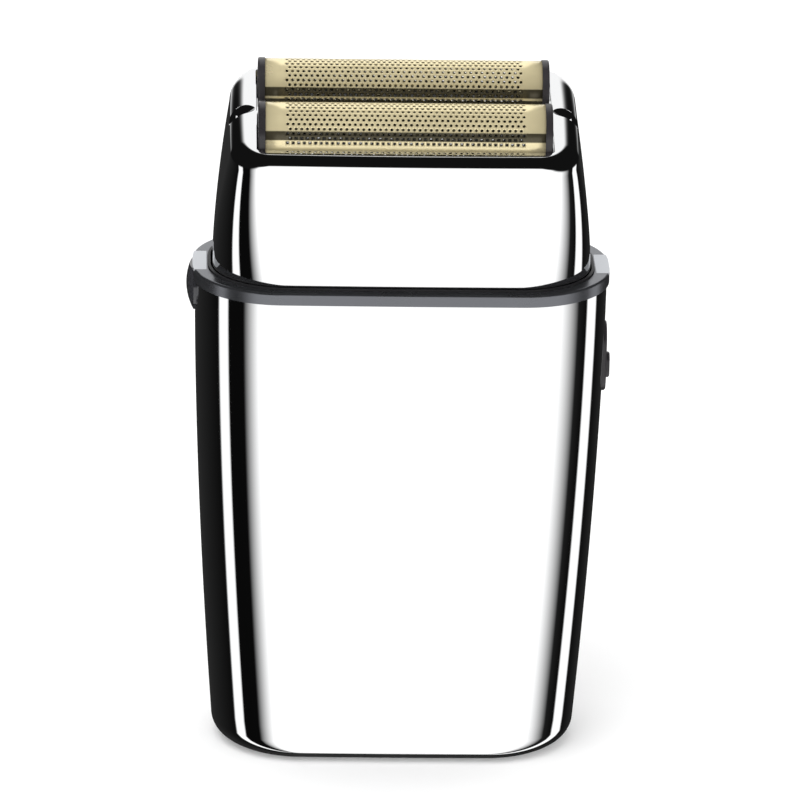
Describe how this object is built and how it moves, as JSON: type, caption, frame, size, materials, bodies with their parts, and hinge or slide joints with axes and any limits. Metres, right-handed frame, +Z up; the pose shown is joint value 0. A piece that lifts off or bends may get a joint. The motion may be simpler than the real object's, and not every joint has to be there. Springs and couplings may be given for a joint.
{
  "type": "foil shaver",
  "caption": "Palm-size double-foil shaver: chrome sleeve body with a lift-off head, floating gold foils, oscillating cutters, motor drive, release button and power slider.",
  "frame": {"origin": "middle of the flat base, under the shaver", "axes": "+Z up along the body, -Y towards the front face, +X towards the power slider side"},
  "size_m": [0.064, 0.0302, 0.106],
  "materials": {
    "chrome_housing": "polished chrome plating",
    "gunmetal": "satin gunmetal",
    "satin_metal": "fine satin",
    "seal_rubber": "matte black",
    "black_plastic": "fine moulded texture",
    "button_gloss": "polished black",
    "gold_foil": "satin gold plating",
    "blade_steel": "ground steel",
    "grey_plastic": "moulded",
    "spring_steel": "drawn steel",
    "screw_steel": "zinc plated",
    "cell_wrap": "shrink film",
    "nickel_tab": "nickel plated",
    "board_green": "solder mask",
    "chip_black": "moulded epoxy",
    "motor_steel": "zinc plated sheet",
    "copper": "enamelled copper",
    "sintered_bronze": "sintered bronze",
    "ferrite": "ferrite"
  },
  "bodies": {
    "root": {"body_shell": "chrome_housing", "collar_ring": "gunmetal", "collar_pads": "satin_metal", "collar_seal": "seal_rubber", "top_deck": "black_plastic", "deck_screws": "screw_steel", "drive_tower": "black_plastic", "tower_screws": "screw_steel", "post_boots": "seal_rubber", "chassis_tray": "grey_plastic", "chassis_cover": "grey_plastic", "chassis_screws": "screw_steel", "battery_cell": "cell_wrap", "battery_tabs": "nickel_tab", "circuit_board": "board_green", "board_chips": "chip_black", "charging_socket": "black_plastic", "motor_can": "motor_steel", "motor_end_bell": "black_plastic", "motor_bushes": "sintered_bronze", "motor_magnets": "ferrite", "switch_bezel": "black_plastic", "switch_body": "black_plastic", "bridge_flexures": "spring_steel", "release_spring": "spring_steel"},
    "rotor": {"motor_shaft": "spring_steel", "armature": "motor_steel", "armature_windings": "copper", "commutator": "copper", "eccentric_cam": "grey_plastic"},
    "bridge": {"drive_bridge": "grey_plastic", "cutter_post_front": "spring_steel", "cutter_post_rear": "spring_steel", "cutter_spring_front": "spring_steel", "cutter_spring_rear": "spring_steel"},
    "cutter_front": {"cutter_blades_front": "blade_steel", "cutter_carrier_front": "grey_plastic"},
    "cutter_rear": {"cutter_blades_rear": "blade_steel", "cutter_carrier_rear": "grey_plastic"},
    "head": {"head_shell": "chrome_housing", "foil_frame": "chrome_housing", "head_latches": "black_plastic"},
    "foil_front": {"foil_front": "gold_foil", "foil_holder_front": "black_plastic"},
    "foil_rear": {"foil_rear": "gold_foil", "foil_holder_rear": "black_plastic"},
    "release_button": {"release_button": "button_gloss"},
    "power_slider": {"power_slider": "black_plastic"}
  },
  "joints": [
    {"name": "rotor_spin", "type": "hinge", "parent": "root", "child": "rotor", "pos_m": [0, 0, 0.0525], "axis": [0, 0, 1], "continuous": true},
    {"name": "bridge_swing", "type": "slide", "parent": "root", "child": "bridge", "axis": [1, 0, 0], "range_m": [-0.0012, 0.0012], "stiffness_N_per_m": 400, "deforming": ["bridge_flexures"]},
    {"name": "cutter_press_front", "type": "slide", "parent": "bridge", "child": "cutter_front", "axis": [0, 0, 1], "range_m": [-0.0008, 0], "deforming": ["cutter_spring_front"]},
    {"name": "cutter_press_rear", "type": "slide", "parent": "bridge", "child": "cutter_rear", "axis": [0, 0, 1], "range_m": [-0.0008, 0], "deforming": ["cutter_spring_rear"]},
    {"name": "head_lift", "type": "slide", "parent": "root", "child": "head", "axis": [0, 0, 1], "range_m": [0, 0.028]},
    {"name": "foil_float_front", "type": "slide", "parent": "head", "child": "foil_front", "axis": [0, 0, 1], "range_m": [-0.0008, 0], "stiffness_N_per_m": 500, "springref_m": 0.0006},
    {"name": "foil_float_rear", "type": "slide", "parent": "head", "child": "foil_rear", "axis": [0, 0, 1], "range_m": [-0.0008, 0], "stiffness_N_per_m": 500, "springref_m": 0.0006},
    {"name": "button_press", "type": "slide", "parent": "root", "child": "release_button", "axis": [1, 0, 0], "range_m": [0, 0.0008], "stiffness_N_per_m": 800, "springref_m": -0.0004, "deforming": ["release_spring"]},
    {"name": "power_slide", "type": "slide", "parent": "root", "child": "power_slider", "axis": [0, 0, 1], "range_m": [0, 0.003]}
  ],
  "couplings": [
    {"joint": "cutter_press_front", "follows": "foil_float_front", "ratio": 1},
    {"joint": "cutter_press_rear", "follows": "foil_float_rear", "ratio": 1}
  ]
}
